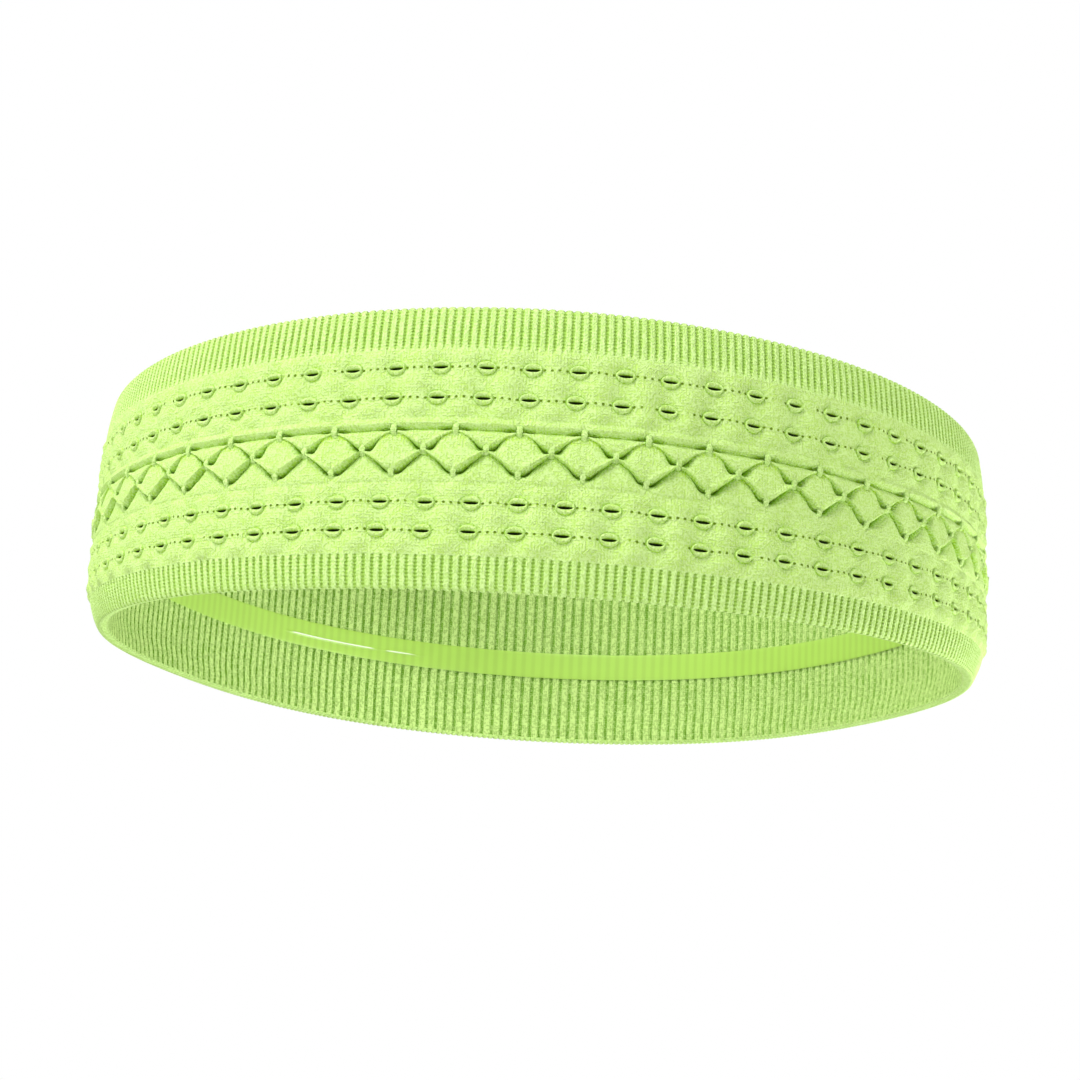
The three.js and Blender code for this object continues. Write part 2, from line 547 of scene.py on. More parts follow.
def bend_out(section, relief, deepest):
    """Moves a section's (outward, level, share) points along its own normal by relief x share, and paints
    shade into each by how far in it is moved.
    """
    moved = []
    for i, (outward, level, share) in enumerate(section):
        before = section[i - 1]
        after = section[(i + 1) % len(section)]
        run = Vector((after[0] - before[0], after[1] - before[1]))
        normal = Vector((run.y, -run.x)).normalized()
        shift = relief * share
        # Painted shade: the deeper the groove, the darker the colour
        cavity = min(1.0, max(0.0, -shift / deepest))
        moved.append((outward + normal.x * shift, level + normal.y * shift, cavity))
    return moved


def ribbed_unit(name, width, shares, section, relief, deepest):
    """One rib: a closed section, anticlockwise with outward to the right, swept along the girth."""
    weave = Weave()
    columns = []
    for share in shares:
        columns.append(at(share * width, bend_out(section, relief(share), deepest)))
    weave.grid(columns, closed=True)
    return weave.finish(name)


def spread(low, high, steps, end=False):
    """Evenly spaced values from low, to just before high or with it."""
    return [low + (high - low) * k / steps for k in range(steps + (1 if end else 0))]


# Where a rib's columns stand across it, and how wide a groove is, both as shares of its width
RIB_SHARES = (0.0, 0.1, 0.22, 0.38, 0.62, 0.78, 0.9, 1.0)
LINING_RIB_SHARES = (0.0, 0.07, 0.14, 0.22, 0.32, 0.5, 0.68, 0.78, 0.86, 0.93, 1.0)
HEM_GROOVE_SHARE = 0.17
LINING_GROOVE_SHARE = 0.145


def rib_relief(depth, groove):
    """A rib with a round crown between two narrow grooves at its ends."""
    def relief(share):
        away = min(share, 1 - share)
        return -depth * math.exp(-((away / groove) ** 2)) - depth * 0.35 * (1 - 2 * away) ** 2
    return relief


def smoothstep(value, low, high):
    share = min(1.0, max(0.0, (value - low) / (high - low)))
    return share * share * (3 - 2 * share)


# How a fold goes on under the lining: (share of its depth, rise in millimetres, relief share)
FOLD_INSIDE = (
    (-0.35, 0.06, 0.85),
    (-0.85, 0.36, 0.6),
    (-0.98, 0.5, 0.4),
    (-1.0, 0.75, 0.15),
    (-0.85, 0.95, 0.0),
)


def fold_section(rim, inward, leaf, seam, fade, shell):
    """A hem's section: an outer leaf from the seam to the rim, which turns in over the lining.

    rim is the rim's level, and inward is +1 where the wall lies above the rim and -1 below it."""
    depth = LINING_DEPTH + 0.8 * MM
    turn = 0.6 * MM
    points = []
    for level in leaf:
        points.append((0.0, level, smoothstep(abs(level - seam), 0.0, fade)))
    for k in range(1, 6):
        angle = math.pi / 2 * k / 6
        calm = 1 - 0.1 * k / 5
        points.append((-turn * (1 - math.cos(angle)), rim + inward * turn * (1 - math.sin(angle)), calm))
    for back, rise, share in FOLD_INSIDE:
        points.append((back * depth, rim + rise * MM * inward, share))
    points.append((-shell - 0.3 * MM, rim + 1.15 * MM * inward, 0.0))
    points.append((-shell, rim + 1.5 * MM * inward, 0.0))
    points.append((-shell, (rim + seam) / 2, 0.0))
    points.append((-shell, seam, 0.0))
    return points


def eyelet_unit(width, rows, low, high):
    """One column of an eyelet panel: an eyelet in each row, with its slit cut through."""
    knit = bpy.context.scene.headband_knit
    weave = Weave()
    middle = (rows[0][1] + rows[1][1]) / 2
    bands = [(low, middle, rows[0]), (middle, high, rows[1])]
    across = 14
    upright = 6
    half_slit = (knit.slit_length / 2, knit.slit_width / 2)
    lip = knit.lip_height
    # Rings of the lip, from inside the wall: (half length, half width, height, painted shade). Shade is
    # painted dark down the slit's walls and in the crease round the lip.
    lips = [
        (half_slit[0] * 0.9, half_slit[1] * 0.2, -1.0 * MM, 1.0),
        (half_slit[0] * 0.96, half_slit[1] * 0.65, -0.45 * MM, 1.0),
        (half_slit[0], half_slit[1], -0.12 * MM, 0.8),
        (half_slit[0] * 1.03, half_slit[1] + 0.12 * MM, lip * 0.5, 0.1),
        (half_slit[0] * 1.09, half_slit[1] + 0.3 * MM, lip * 0.95, 0.0),
        (half_slit[0] * 1.17, half_slit[1] + 0.54 * MM, lip, 0.0),
        (half_slit[0] * 1.25, half_slit[1] + 0.76 * MM, lip * 0.6, 0.0),
        (half_slit[0] * 1.31, half_slit[1] + 0.86 * MM, -0.1 * MM, 0.55),
        (half_slit[0] * 1.42, half_slit[1] + 1.0 * MM, -0.05 * MM, 0.05),
    ]

    def base(x, z):
        """The soft swell of the knit between four eyelets."""
        side = math.sin(math.pi * (x / width - 0.5)) ** 2
        row_gap = min(abs(z - rows[0][1]), abs(z - rows[1][1]))
        between = smoothstep(row_gap, 0.2 * MM, 2.2 * MM)
        edge = smoothstep(z - low, 0.0, 1.4 * MM) * smoothstep(high - z, 0.0, 1.4 * MM)
        return knit.puff * edge * (side * (0.65 + 0.35 * between) + 0.08 * between - 0.3)

    for bottom, top, (centre, row) in bands:
        border = [(x, top) for x in spread(width, 0, across)]
        border += [(0.0, z) for z in spread(top, bottom, upright)]
        border += [(x, bottom) for x in spread(0, width, across)]
        border += [(width, z) for z in spread(bottom, top, upright)]
        border.append(border[0])
        angles = []
        for x, z in border:
            rise = (z - row) / ((top - row) if z > row else (row - bottom))
            angles.append(math.atan2(rise, (x - width / 2) / (width / 2)))
        front = []
        for half_x, half_z, height, cavity in lips:
            ring = []
            for angle in angles:
                x = centre + half_x * math.cos(angle)
                z = row + half_z * math.sin(angle)
                ring.append((x, height + base(x, z), z, cavity))
            front.append(ring)
        for blend in (0.22, 0.45, 0.72, 1.0):
            ring = []
            for (x0, _, z0, _), (x1, z1) in zip(front[len(lips) - 1], border):
                x = x0 + (x1 - x0) * blend
                z = z0 + (z1 - z0) * blend
                ring.append((x, base(x, z), z, 0.0))
            front.append(ring)
        weave.grid(front)
        back = [front[0]]
        for blend in (0.4, 1.0):
            ring = []
            for (x0, _, z0, _), (x1, z1) in zip(front[0], border):
                ring.append((x0 + (x1 - x0) * blend, -knit.shell, z0 + (z1 - z0) * blend, 0.0))
            back.append(ring)
        weave.grid(back)
        outer = top if top == high else bottom
        edge = [(x, z) for x, z in border[:-1] if abs(z - outer) < 1e-9]
        weave.grid([[(x, 0.0, z, 0.0) for x, z in edge], [(x, -knit.shell, z, 0.0) for x, z in edge]])
    return weave.finish("eyelet_unit")


def honeycomb_section(share):
    """The honeycomb's front from top to bottom at a share of one cell's width.

    Tacks of the upper and lower rows stand at share 0 and 1, and the middle row's at one half. Like
    shingles, the upper panel's edge and two folds each hang over the next, and the folds' crests zigzag
    from tack to tack."""
    knit = bpy.context.scene.headband_knit
    outer = abs(2 * share - 1)
    inner = 1 - outer
    rising = math.sin(math.tau * share) if share < 0.5 else 0.0
    half_cell = girth_length() / knit.tacks / 2
    reach = 0.5 * MM / half_cell
    pinch_outer = math.exp(-((inner / reach) ** 2))
    pinch_inner = math.exp(-((outer / reach) ** 2))
    pocket_outer = math.exp(-(((inner - 2.2 * reach) / (2.0 * reach)) ** 2))
    pocket_inner = math.exp(-(((outer - 2.2 * reach) / (2.0 * reach)) ** 2))
    tack_end = 0.25 * MM
    crest = knit.ridge
    tucked = crest * 1.1
    pleat = knit.pleat
    lens = 1 - outer ** 4

    sag = inner ** 1.35
    upper_crest = (UPPER_TACKS - tack_end) * (1 - sag) + (MIDDLE_TACKS + tack_end) * sag
    lower_crest = (LOWER_TACKS + tack_end) * outer + (MIDDLE_TACKS - tack_end) * inner
    upper_height = crest * (0.25 + 0.75 * inner ** 2)
    lower_height = crest * 1.25
    panel_height = crest * (0.2 + 0.55 * lens)
    upper_groove = UPPER_TACKS + 0.05 * MM
    upper_depth = pleat * (0.28 + 0.6 * pocket_outer) * (1 - 0.7 * pinch_outer)
    cell_depth = pleat * (0.02 + 0.85 * pocket_inner) * (1 - 0.7 * pinch_inner)
    lower_depth = pleat * (0.15 + 0.65 * pocket_outer + 0.35 * rising) * (1 - 0.7 * pinch_outer)
    pinches = ((UPPER_TACKS, pinch_outer), (MIDDLE_TACKS, pinch_inner), (LOWER_TACKS, pinch_outer))
    points = []

    def add(level, height, shaded=0.0):
        """A point of the section, pulled in where a tack is near. Its painted shade is the larger of shaded
        and how deep it lies.
        """
        for tack, pinch in pinches:
            height -= tucked * pinch * math.exp(-(((level - tack) / (0.8 * MM)) ** 2))
        hollow = (-height - 0.02 * MM) / (0.65 * pleat)
        points.append((height, level, min(1.0, max(shaded, hollow))))

    def underside(level, height, depth, drop):
        """From a crest, down and in to the groove behind the next fold, with painted shade that darkens
        towards the groove.
        """
        for out_share, down_share in ((0.0, 0.0), (0.12, 0.35), (0.42, 0.65), (0.75, 0.87)):
            add(level - drop * down_share, height - (height + depth) * out_share, 0.75 * out_share)

    def emerge(groove, depth, level, height, count, curve, piping=0.0):
        """From a groove, out to a crest or to a flat panel, with painted shade at the groove's bottom."""
        for k in range(count):
            v = 1 - (1 - k / count) ** 1.5 if piping else (k / count) ** 1.15
            out = -depth + (height + depth) * (1 - (1 - v) ** curve)
            above = (groove - (groove - level) * v - level) / MM
            swell = piping * math.exp(-((above / 0.3) ** 2))
            hollow = 0.7 * piping * math.exp(-(((above - 0.75) / 0.3) ** 2))
            out += swell - hollow
            add(groove + (level - groove) * v, out, 0.6 * max(0.0, 1 - 5 * v))

    # The upper panel, turning in to the upper groove, with painted shade near the groove
    for v in (0.0, 0.2, 0.4, 0.55, 0.66, 0.76, 0.84, 0.91, 0.96):
        fall = smoothstep(v, 0.5, 1.05) ** 1.4
        height = panel_height * smoothstep(v, 0.0, 0.45) * (1 - fall) - upper_depth * fall
        add(UPPER_SEAM + (upper_groove - UPPER_SEAM) * v, height, 0.35 * smoothstep(v, 0.8, 1.0))
    emerge(upper_groove, upper_depth, upper_crest, upper_height, 8, 3.4, knit.piping)
    drop = (0.14 + 0.6 * pocket_inner) * MM
    underside(upper_crest, upper_height + knit.piping, cell_depth, drop)
    emerge(upper_crest - drop, cell_depth, lower_crest, lower_height, 11, 1.35, knit.piping)
    drop = (0.16 + 0.35 * rising + 0.55 * pocket_outer) * MM
    underside(lower_crest, lower_height + knit.piping, lower_depth, drop)
    low_height = crest * (0.05 + 0.3 * lens)
    panel_start = LOWER_TACKS - 1.1 * MM
    emerge(lower_crest - drop, lower_depth, panel_start, low_height, 7, 3.2)
    for k in range(4):
        v = k / 3
        ease = 1 - v * v * (3 - 2 * v)
        add(panel_start + (LOWER_SEAM - panel_start) * v, low_height * ease)
    return points


def honeycomb_unit(width):
    knit = bpy.context.scene.headband_knit
    weave = Weave()
    columns = []
    back_steps = 4
    for turn in spread(0, 1, 32, end=True):
        share = turn - 0.6 * math.sin(2 * math.tau * turn) / (2 * math.tau)
        lowest = -knit.pleat - knit.shell * 0.5
        back = []
        for k in range(back_steps + 1):
            level = LOWER_SEAM + (UPPER_SEAM - LOWER_SEAM) * k / back_steps
            back.append((-knit.shell if k in (0, back_steps) else lowest, level, 0.0))
        columns.append(at(share * width, honeycomb_section(share) + back))
    weave.grid(columns, closed=True)
    return weave.finish("honeycomb_unit")


def lay_strand(weave, width, level, sides, beading):
    """A strand of yarn behind the wall, which swells and shrinks by a share of its thickness."""
    rings = []
    for share in spread(0, 1, 8, end=True):
        bead = beading * (1 - math.sin(math.pi * share))
        ring = []
        for k in range(sides):
            angle = math.tau * k / sides
            # The last value paints shade where the strand shrinks between beads
            ring.append((-CORD_DEPTH + STRAND_RADIUS * (1 - bead) * math.cos(angle),
                         level + STRAND_RADIUS * (1 - bead) * math.sin(angle), bead))
        rings.append(at(share * width, ring))
    weave.grid(rings, closed=True)


def thread_unit(name, width, level, tack_share):
    """One pitch of a gathering thread, with the loop that it throws round the fold as a tack."""
    knit = bpy.context.scene.headband_knit
    weave = Weave()
    radius = knit.tack_yarn / 2
    sides = 6
    lay_strand(weave, width, level, sides, beading=0.0)
    # The tack's loop: a flat, knobby ring that passes behind the fold and over its front
    front = 0.16 * MM
    half_depth = (CORD_DEPTH + front) / 2
    loop = []
    steps = 16
    for k in range(steps + 1):
        angle = math.tau * k / steps
        squared = abs(math.cos(angle)) ** 0.6 * math.copysign(1, math.cos(angle))
        out = -CORD_DEPTH + half_depth + half_depth * squared
        up = knit.tack_height / 2 * math.sin(angle)
        knob = 1 + 0.16 * math.cos(6 * angle)
        ring = []
        for i in range(sides):
            tilt = math.tau * i / sides
            reach = radius * 0.75 * knob * math.cos(tilt)
            # The last value paints shade on the loop where it narrows between its knobs
            ring.append((tack_share * width + radius * 1.25 * knob * math.sin(tilt),
                         out + reach * math.cos(angle), level + up + reach * math.sin(angle),
                         0.15 * (1.16 - knob)))
        loop.append(ring)
    weave.grid(loop, closed=True)
    return weave.finish(name)


def strip_unit(width):
    """The whole silicone strip, flat: a soft-edged band with a raised wrinkle at the back left, where a pale
    glint is painted.
    """
    weave = Weave()
    low, high = (corner.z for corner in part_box("silicone_grip_strip"))
    ribs = bpy.context.scene.headband_knit.lining_ribs
    front = -(LINING_DEPTH + 0.62 * MM)
    face = -GRIP_DEPTH
    rows = (0.0, 0.03, 0.08, 0.2, 0.35, 0.46, 0.5, 0.53, 0.56, 0.59, 0.62, 0.66, 0.78, 0.92, 0.97, 1.0)
    columns = []
    for share in spread(0, 1, 2 * ribs, end=True):
        wave = math.tau * share * ribs
        wrinkle_and_glint = smoothstep(share, 0.045, 0.06) * smoothstep(-share, -0.128, -0.118)
        wrinkle_and_glint *= 1 - math.exp(-(((share - 0.071) / 0.0035) ** 2))
        loop = [(front, low + 0.3 * MM, 0.0), (front, high - 0.3 * MM, 0.0)]
        for v in rows:
            level = high + (low - high) * v
            edge = 1 - (2 * abs(v - 0.5)) ** 10
            height = face + 0.1 * MM * (1 - edge) + 0.03 * MM * math.cos(wave) * edge
            # The wrinkle's crest both dents the strip and marks where a pale glint is painted
            crest = math.exp(-(((v - 0.56 - 0.1 * (share - 0.1)) / 0.035) ** 2)) * wrinkle_and_glint
            loop.append((height - 0.3 * MM * crest, level, crest))
        columns.append(at(share * width, loop))
    weave.grid(columns, closed=True)
    return weave.finish("strip_unit")


def stitch_unit(width, level):
    """One link stitch, a bead on a strand."""
    weave = Weave()
    lay_strand(weave, width, level, sides=8, beading=0.2)
    return weave.finish("link_unit")


TAPE_UNITS = 160
TAPE_CORDS = 4
TAPE_THICKNESS = 0.4 * MM


def tape_unit(name, width, low, high):
    """A short stretch of woven elastic tape with cords along it."""
    weave = Weave()
    rows = TAPE_CORDS * 4
    columns = []
    for share in spread(0, 1, 4, end=True):
        weft = math.sin(math.pi * share) ** 2
        loop = []
        for side in (1, -1):
            for k in range(rows + 1):
                v = k / rows if side == 1 else 1 - k / rows
                bead = abs(math.sin(math.pi * v * TAPE_CORDS))
                out = side * TAPE_THICKNESS / 2 * (0.45 + 0.45 * bead + 0.1 * weft)
                # The last value paints shade between the cords
                loop.append((share * width, -CORD_DEPTH + out, low + (high - low) * v, 1 - bead))
        columns.append(loop)
    weave.grid(columns, closed=True)
    return weave.finish(name)


# ---------------------------------------------------------------- materials


# Painted shade in the needle holes between eyelets
NEEDLE_HOLE_SHADE = (0.06, 0.13, 0.0, 1.0)
# Painted shade deep in an eyelet's slit
SLIT_PAINTED_SHADE = (0.015, 0.04, 0.0, 1.0)
# Painted shade in the ladder dots of the rib grooves
LADDER_PAINTED_SHADE = (0.14, 0.3, 0.01, 1.0)
GLINT = (0.9, 0.97, 0.8, 1.0)
HOLE_STEP = 1.15  # millimetres between two needle holes


def rgba(value):
    return (*value, 1.0)


def new_material(name):
    material = bpy.data.materials.new(name)
    material.use_nodes = True
    material.node_tree.nodes.clear()
    return material, Graph(material.node_tree)


def surface(g, base, roughness, normal, **constants):
    """A Principled surface. Its constants are set on its own sockets."""
    shader = g.node("ShaderNodeBsdfPrincipled", {
        "Base Color": base, "Roughness": roughness, "Normal": normal, **constants})
    g.node("ShaderNodeOutputMaterial", {"Surface": shader})


def knit_material(name, pale, deep, wale, course, ladder=0.0, ragged=0.0, grain=2700.0, needle_rows=()):
    """Lime jersey or rib: fibre mottling, V stitches with deeper colour between them, and painted shade in
    folds and grooves.

    A needle row is (gap middle, level, pitch) in millimetres: between the eyelets of a row, four needle
    holes stand on a fine raised line. Pieces of one finish share its material."""
    if name in bpy.data.materials:
        return bpy.data.materials[name]
    material, g = new_material(name)
    place_now = g.node("ShaderNodeTexCoord", out=3)
    u, v = g.unwrapped()
    cavity = g.attribute("cavity")
    fine = g.noise(place_now, grain, 1.0)
    fibre = g.smooth(fine, 0.4, 0.6)
    patch = g.noise(place_now, 240.0)
    blotch = g.smooth(patch, 0.3, 0.7)
    # V stitches in columns
    in_wale = g.math("ABSOLUTE", g.math("FRACT", u / wale) - 0.5) * 2.0
    wobble = (patch - 0.5) * 1.4
    stitch = g.math("SINE", (v / course + in_wale * 0.6 + wobble) * math.tau) * 0.5 + 0.5
    loop = (0.25 + stitch * 0.75) * (1.0 - in_wale ** 3.0)
    # Painted shade in grooves, folds and hollows, with a frayed edge on the lining; below it is mixed with
    # the knit's own mottling and stitches
    depth = g.clamp(cavity + (fibre - 0.5) * ragged * g.smooth(cavity, 0.02, 0.25))
    shade = depth * 0.9 + (0.5 - fibre) * 0.55 + (1.0 - loop) * 0.46 + (0.5 - blotch) * 0.12 - 0.1
    relief = loop * 0.6 + fibre * 0.8
    if ladder:
        rung = g.smooth(g.math("SINE", (v / ladder + wobble * 0.3) * math.tau), -0.1, 0.7)
        # Ladder dots: small dents in the rib grooves, with painted shade in them
        dots = g.smooth(cavity, 0.25, 0.6) * rung
        shade = shade + dots * 0.7
        relief = relief - dots
    if needle_rows:
        holes = 0.0
        for gap, level, pitch in needle_rows:
            across = (g.math("FRACT", (u - gap) / pitch + 0.5) - 0.5) * pitch
            beside = (g.math("FRACT", across / HOLE_STEP) - 0.5) * HOLE_STEP
            height = v - level
            height_off = height + (patch - 0.5) * 0.9
            spot = 1.0 - g.smooth(beside * beside * 14.0 + height_off * height_off * 18.0, 0.2, 1.0)
            inside = 1.0 - g.smooth(g.math("ABSOLUTE", across), 1.9, 2.1)
            holes = spot * inside * g.smooth(blotch, 0.0, 0.3) + holes
            line = (1.0 - g.smooth(g.math("ABSOLUTE", height), 0.2, 0.55)) * inside
            relief = relief + line * 0.5
        # Needle holes: small dents, with painted shade in them
        shade = shade + holes * 1.2
        relief = relief - holes * 2.2
    base = g.mix(g.clamp(shade), rgba(pale), rgba(deep))
    if needle_rows:
        # Painted shade, darker still, in the needle holes
        base = g.mix(g.clamp(holes) * 0.75, base, NEEDLE_HOLE_SHADE)
        # Painted shade, near black, deep in the eyelets' slits
        base = g.mix(g.smooth(cavity, 0.65, 0.95), base, SLIT_PAINTED_SHADE)
    if ladder:
        # Painted shade, darker still, in the ladder dots
        base = g.mix(dots * 0.4, base, LADDER_PAINTED_SHADE)
    bump = g.bump(relief, 0.9, 0.15 * MM)
    surface(g, base, 0.8 + (fibre - 0.5) * 0.1, bump, **{
        "Sheen Weight": 0.08, "Sheen Roughness": 0.5, "Sheen Tint": rgba(pale), "Specular IOR Level": 0.2})
    return material


def rib_knit():
    tint = bpy.context.scene.headband_colours
    return knit_material("lime_rib_knit", tint.rib_pale, tint.rib_deep, wale=0.65, course=0.5, ladder=0.52)


def eyelet_knit():
    scene = bpy.context.scene
    tint = scene.headband_colours
    pitch = girth_length() / MM / scene.headband_knit.eyelets
    rows = []
    for panel in EYELET_ROWS.values():
        for share, level in panel["rows"]:
            rows.append(((share - 0.5) * pitch, level * HEIGHT / MM, pitch))
    return knit_material(
        "lime_eyelet_knit", tint.knit_pale, tint.knit_deep, wale=pitch / 15, course=0.42, needle_rows=rows)


def honeycomb_knit():
    scene = bpy.context.scene
    tint = scene.headband_colours
    wale = girth_length() / MM / scene.headband_knit.tacks / 21
    return knit_material("lime_honeycomb_knit", tint.knit_pale, tint.knit_deep, wale=wale, course=0.4)


def lining_knit():
    tint = bpy.context.scene.headband_colours
    return knit_material(
        "lime_lining_knit", tint.lining_pale, tint.lining_deep, wale=0.55, course=0.45,
        ragged=1.8, grain=1700.0)


def yarn():
    pale = bpy.context.scene.headband_colours.yarn
    # The deep colour takes the painted shade on the tacks' loops and the link stitch's beads, and the yarn's
    # own mottling
    deep = (pale[0] * 0.62, pale[1] * 0.75, pale[2] * 0.3)
    return knit_material("lime_yarn", pale, deep, wale=0.3, course=0.3)


def elastic():
    pale = bpy.context.scene.headband_colours.elastic
    # The deep colour takes the painted shade between the tape's cords, and the tape's own mottling
    deep = [c * 0.55 for c in pale]
    return knit_material("lime_elastic", pale, deep, wale=0.8, course=0.4)


def silicone():
    """Glossy clear silicone, with the lining's ribs showing faintly through and a painted glint along its
    wrinkle.
    """
    scene = bpy.context.scene
    clear = scene.headband_colours.silicone
    material, g = new_material("lime_silicone")
    place_now = g.node("ShaderNodeTexCoord", out=3)
    u, _ = g.unwrapped()
    pitch = girth_length() / MM / scene.headband_knit.lining_ribs
    ribs = g.math("COSINE", u / pitch * math.tau) * 0.5 + 0.5
    cloud = g.noise(place_now, 90.0)
    wrinkle_and_glint = g.attribute("cavity")
    deep = [c * 0.72 for c in clear]
    shade = g.clamp(g.smooth(ribs, 0.1, 1.0) * 0.32 + (cloud - 0.5) * 0.5)
    body = g.mix(shade, rgba(clear), rgba(deep))
    # A pale painted glint along the wrinkle's crest, which is also glossier there
    base = g.mix(g.smooth(wrinkle_and_glint, 0.35, 0.9), body, GLINT)
    bump = g.bump(cloud, 0.2, 0.1 * MM)
    surface(g, base, 0.5 - wrinkle_and_glint * 0.38, bump, **{
        "Specular IOR Level": 0.4, "Coat Weight": 0.15, "Coat Roughness": 0.25})
    return material


# ---------------------------------------------------------------- operators


TACK_START = 3.85 * MM  # the first cell's start, which puts a tack right of the front centre
RELAXED = 0.88  # girth before the band is stretched on, as a share of the worn girth
GATHERING = 1.35  # length of the honeycomb before it is gathered, as a share of its height
LINING_REACH = 0.75 * MM  # how far the lining goes on into the hems' folds


def relaxed(width):
    """Flat size of a zone of knit before it is stretched on: its width and the relaxed girth."""
    return (width, girth_length() * RELAXED)


def knit_hem(node, ribs, rim, inward, seam, leaf, fade):
    """A ribbed hem, folded over the lining. Its outer leaf has its points at the levels in leaf."""
    knit = bpy.context.scene.headband_knit
    section = fold_section(rim, inward, leaf, seam, fade, knit.shell)
    if inward > 0:
        section.reverse()
    relief = rib_relief(knit.hem_groove, HEM_GROOVE_SHARE)
    unit = ribbed_unit(node + "_unit", girth_length() / ribs, RIB_SHARES, section, relief, knit.hem_groove)
    piece = knit_round(node + "_knit", unit, ribs, rib_knit(), sway=knit.sway, pucker=knit.pucker)
    place(piece, node, "rib_knit")
    relaxed(0.01)


class HEADBAND_OT_top_hem(bpy.types.Operator):
    """Knit the ribbed top hem, folded over the lining"""

    bl_idname = "headband.top_hem"
    bl_label = "Top Rib Hem"

    def execute(self, context):
        leaf = [TOP_SEAM, TOP_SEAM + 0.6 * MM, TOP_SEAM + 1.3 * MM]
        leaf += spread(TOP_SEAM + 2.2 * MM, HEIGHT - 0.6 * MM, 4, end=True)
        ribs = context.scene.headband_knit.top_ribs
        knit_hem("top_rib_hem", ribs, HEIGHT, -1, TOP_SEAM, leaf, 1.0 * MM)
        return {"FINISHED"}


class HEADBAND_OT_bottom_hem(bpy.types.Operator):
    """Knit the ribbed bottom hem, folded under the lining"""

    bl_idname = "headband.bottom_hem"
    bl_label = "Bottom Rib Hem"

    def execute(self, context):
        leaf = [BOTTOM_SEAM, BOTTOM_SEAM - 0.18 * MM, BOTTOM_SEAM - 0.4 * MM]
        leaf += spread(BOTTOM_SEAM - 1.0 * MM, 0.6 * MM, 4, end=True)
        ribs = context.scene.headband_knit.bottom_ribs
        knit_hem("bottom_rib_hem", ribs, 0.0, 1, BOTTOM_SEAM, leaf, 0.35 * MM)
        return {"FINISHED"}


class HEADBAND_OT_eyelet_panels(bpy.types.Operator):
    """Knit the two eyelet panels, above and below the honeycomb"""

    bl_idname = "headband.eyelet_panels"
    bl_label = "Eyelet Panels"

    def execute(self, context):
        knit = context.scene.headband_knit
        pitch = girth_length() / knit.eyelets
        zones = {
            "lower_eyelet_panel": (BOTTOM_SEAM, LOWER_SEAM),
            "upper_eyelet_panel": (UPPER_SEAM, TOP_SEAM),
        }
        for node, (low, high) in zones.items():
            shift = EYELET_ROWS[node]["shift"]
            rows = [(share * pitch, level * HEIGHT) for share, level in EYELET_ROWS[node]["rows"]]
            unit = eyelet_unit(pitch, rows, low, high)
            piece = knit_round(node + "_knit", unit, knit.eyelets, eyelet_knit(), start=(shift - 0.5) * pitch,
                               sway=knit.sway, pucker=knit.pucker)
            place(piece, node, "eyelet_knit")
            relaxed(high - low)
        return {"FINISHED"}


class HEADBAND_OT_honeycomb(bpy.types.Operator):
    """Knit the gathered honeycomb panel"""

    bl_idname = "headband.honeycomb"
    bl_label = "Honeycomb Panel"

    def execute(self, context):
        knit = context.scene.headband_knit
        pitch = girth_length() / knit.tacks
        piece = knit_round("honeycomb_panel_knit", honeycomb_unit(pitch), knit.tacks, honeycomb_knit(),
                           start=TACK_START, sway=knit.sway, pucker=knit.pucker)
        place(piece, "honeycomb_panel", "honeycomb_knit")
        flat = relaxed((UPPER_SEAM - LOWER_SEAM) * GATHERING)
        return {"FINISHED"}


class HEADBAND_OT_threads(bpy.types.Operator):
    """Lay the three gathering threads and their tacks"""

    bl_idname = "headband.threads"
    bl_label = "Smocking Threads"

    def execute(self, context):
        knit = context.scene.headband_knit
        pitch = girth_length() / knit.tacks
        rows = {
            "smocking_thread_upper": (UPPER_TACKS, 0.0),
            "smocking_thread_middle": (MIDDLE_TACKS, 0.5),
            "smocking_thread_lower": (LOWER_TACKS, 0.0),
        }
        for node, (level, share) in rows.items():
            unit = thread_unit(node + "_unit", pitch, level, share)
            piece = knit_round(node + "_yarn", unit, knit.tacks, yarn(), start=TACK_START, sway=knit.sway,
                               pucker=knit.pucker)
            place(piece, node, "yarn")
        return {"FINISHED"}


class HEADBAND_OT_lining(bpy.types.Operator):
    """Knit the ribbed lining and close it with its link stitch"""

    bl_idname = "headband.lining"
    bl_label = "Lining"

    def execute(self, context):
        knit = context.scene.headband_knit
        pitch = girth_length() / knit.lining_ribs
        back = -LINING_DEPTH - knit.lining
        low = LINING_BOTTOM - LINING_REACH
        high = LINING_TOP + LINING_REACH
        section = [(-LINING_DEPTH, level, 0.0) for level in spread(low, high, 12, end=True)]
        section += [(back, level, 1.0) for level in spread(high, low, 16, end=True)]

        def relief(share):
            away = min(share, 1 - share)
            return -knit.lining_groove * math.exp(-((away / LINING_GROOVE_SHARE) ** 3))
        unit = ribbed_unit("lining_unit", pitch, LINING_RIB_SHARES, section, relief, knit.lining_groove)
        piece = knit_round("inner_rib_lining_knit", unit, knit.lining_ribs, lining_knit())
        place(piece, "inner_rib_lining", "lining_knit")
        relaxed(high - low)

        stitches = knit.lining_ribs * 2
        unit = stitch_unit(girth_length() / stitches, middle_level("lining_link_stitch"))
        piece = knit_round("lining_link_stitch_yarn", unit, stitches, yarn())
        place(piece, "lining_link_stitch", "yarn")
        return {"FINISHED"}


class HEADBAND_OT_grip(bpy.types.Operator):
    """Bond the silicone grip strip to the lining"""

    bl_idname = "headband.grip"
    bl_label = "Silicone Grip Strip"

    def execute(self, context):
        piece = knit_round("silicone_grip_strip_moulded", strip_unit(girth_length()), 1, silicone(),
                           start=-girth_length() / 2)
        place(piece, "silicone_grip_strip", "silicone")
        return {"FINISHED"}


